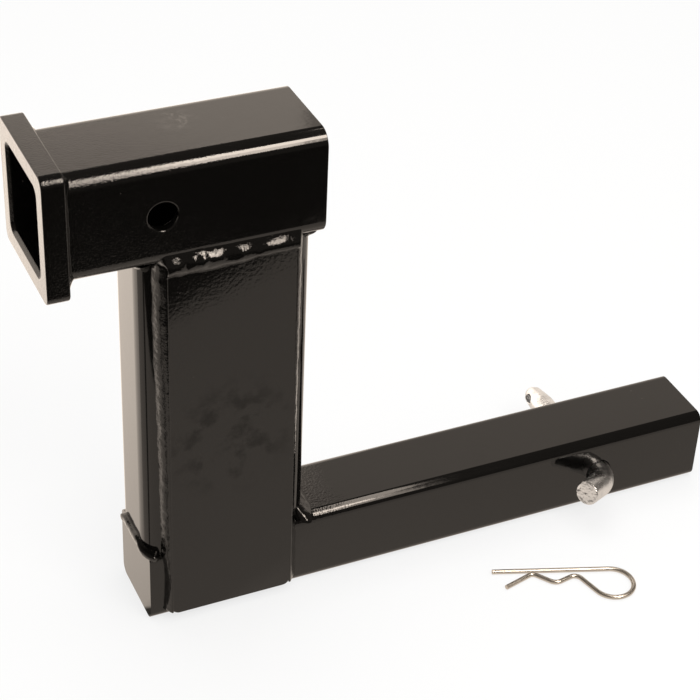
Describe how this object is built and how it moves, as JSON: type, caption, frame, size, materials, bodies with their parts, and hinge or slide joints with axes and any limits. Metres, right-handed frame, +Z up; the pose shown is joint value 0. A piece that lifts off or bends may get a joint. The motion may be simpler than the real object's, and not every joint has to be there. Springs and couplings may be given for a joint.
{
  "type": "raised trailer hitch receiver",
  "caption": "Raised square receiver tube with a collar on a rectangular upright, side plates, a square insert shank, a bent hitch pin and a spring clip.",
  "frame": {"origin": "on the shank's underside, on its centre line, below the middle of the upright", "axes": "+X along the shank towards its free end, +Y across to the far side, +Z up; the receiver's mouth faces -X"},
  "size_m": [0.4365, 0.1818, 0.3239],
  "materials": {
    "black_paint": "glossy black powder coat on steel",
    "painted_weld": "glossy black powder coat over rippled weld",
    "zinc_plate": "bright zinc plate",
    "bright_wire": "bright drawn spring wire"
  },
  "bodies": {
    "hitch": {"receiver_tube": "black_paint", "receiver_collar": "black_paint", "collar_weld": "painted_weld", "upright_tube": "black_paint", "near_side_plate": "black_paint", "far_side_plate": "black_paint", "shank_tube": "black_paint", "shank_end_cap": "black_paint", "near_plate_top_weld": "painted_weld", "near_plate_left_weld": "painted_weld", "near_plate_right_weld": "painted_weld", "far_plate_top_weld": "painted_weld", "far_plate_left_weld": "painted_weld", "far_plate_right_weld": "painted_weld", "upright_top_left_weld": "painted_weld", "upright_top_right_weld": "painted_weld", "upright_foot_left_weld": "painted_weld", "upright_foot_right_weld": "painted_weld", "pin_clip": "bright_wire"},
    "pin": {"hitch_pin": "zinc_plate"}
  },
  "joints": [
    {"name": "pin_slide", "type": "slide", "parent": "hitch", "child": "pin", "axis": [0, -1, 0], "range_m": [0, 0.095]}
  ]
}
